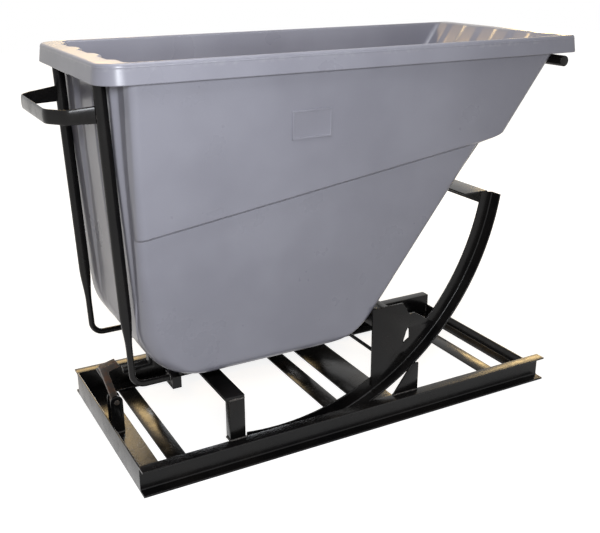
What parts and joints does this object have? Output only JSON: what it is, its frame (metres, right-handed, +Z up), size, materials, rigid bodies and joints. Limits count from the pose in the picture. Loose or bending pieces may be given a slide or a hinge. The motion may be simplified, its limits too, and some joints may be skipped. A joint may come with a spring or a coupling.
{
  "type": "self-dumping tote hopper",
  "caption": "Open-topped moulded plastic waste tub with a sloped front, carried in a black steel rocker frame that rolls forward on a channel base to dump.",
  "frame": {"origin": "on the floor, under the middle of the whole hopper", "axes": "+X towards the dump end, +Y across, +Z up"},
  "size_m": [1.954, 0.86, 1.4214],
  "materials": {
    "grey_plastic": "satin moulded",
    "black_steel": "gloss black paint",
    "bare_steel": "worn bare metal"
  },
  "bodies": {
    "base": {"near_rail": "black_steel", "far_rail": "black_steel", "rear_angle": "black_steel", "front_angle": "black_steel", "rear_cross_bar": "black_steel", "mid_cross_bar": "black_steel", "mid_cross_plate": "black_steel", "front_cross_bar": "black_steel", "near_track": "black_steel", "far_track": "black_steel", "near_saddle_post": "black_steel", "far_saddle_post": "black_steel", "saddle_bar": "black_steel", "near_guide_lug": "black_steel", "far_guide_lug": "black_steel", "latch_cheek_near": "black_steel", "latch_cheek_far": "black_steel", "latch_pin": "bare_steel"},
    "carriage": {"roll_plug": "grey_plastic"},
    "hopper": {"tub": "grey_plastic", "tub_plaque": "grey_plastic", "near_rocker": "black_steel", "far_rocker": "black_steel", "near_strut_plate": "black_steel", "far_strut_plate": "black_steel", "lower_cross_angle": "black_steel", "top_cross_member": "black_steel", "cross_rod": "black_steel", "cradle_cross_bar": "black_steel", "near_slope_tube": "black_steel", "far_slope_tube": "black_steel", "front_bar": "black_steel", "near_runner": "black_steel", "far_runner": "black_steel", "foot_bar": "black_steel", "near_foot_block": "black_steel", "far_foot_block": "black_steel", "near_upright": "black_steel", "far_upright": "black_steel", "push_handle": "black_steel", "latch_striker": "black_steel"},
    "latch": {"latch_hook": "bare_steel", "latch_lever": "black_steel"}
  },
  "joints": [
    {"name": "roll_travel", "type": "slide", "parent": "base", "child": "carriage", "axis": [1, 0, 0], "range_m": [0, 0.9288]},
    {"name": "roll", "type": "hinge", "parent": "carriage", "child": "hopper", "pos_m": [-0.287, 0, 0.9796], "axis": [0, 1, 0], "range_deg": [0, 55]},
    {"name": "latch_swing", "type": "hinge", "parent": "base", "child": "latch", "pos_m": [-0.783, 0.035, 0.135], "axis": [0, 1, 0], "range_deg": [0, 14]}
  ],
  "couplings": [
    {"joint": "roll_travel", "follows": "roll", "m_per_rad": 0.967}
  ]
}
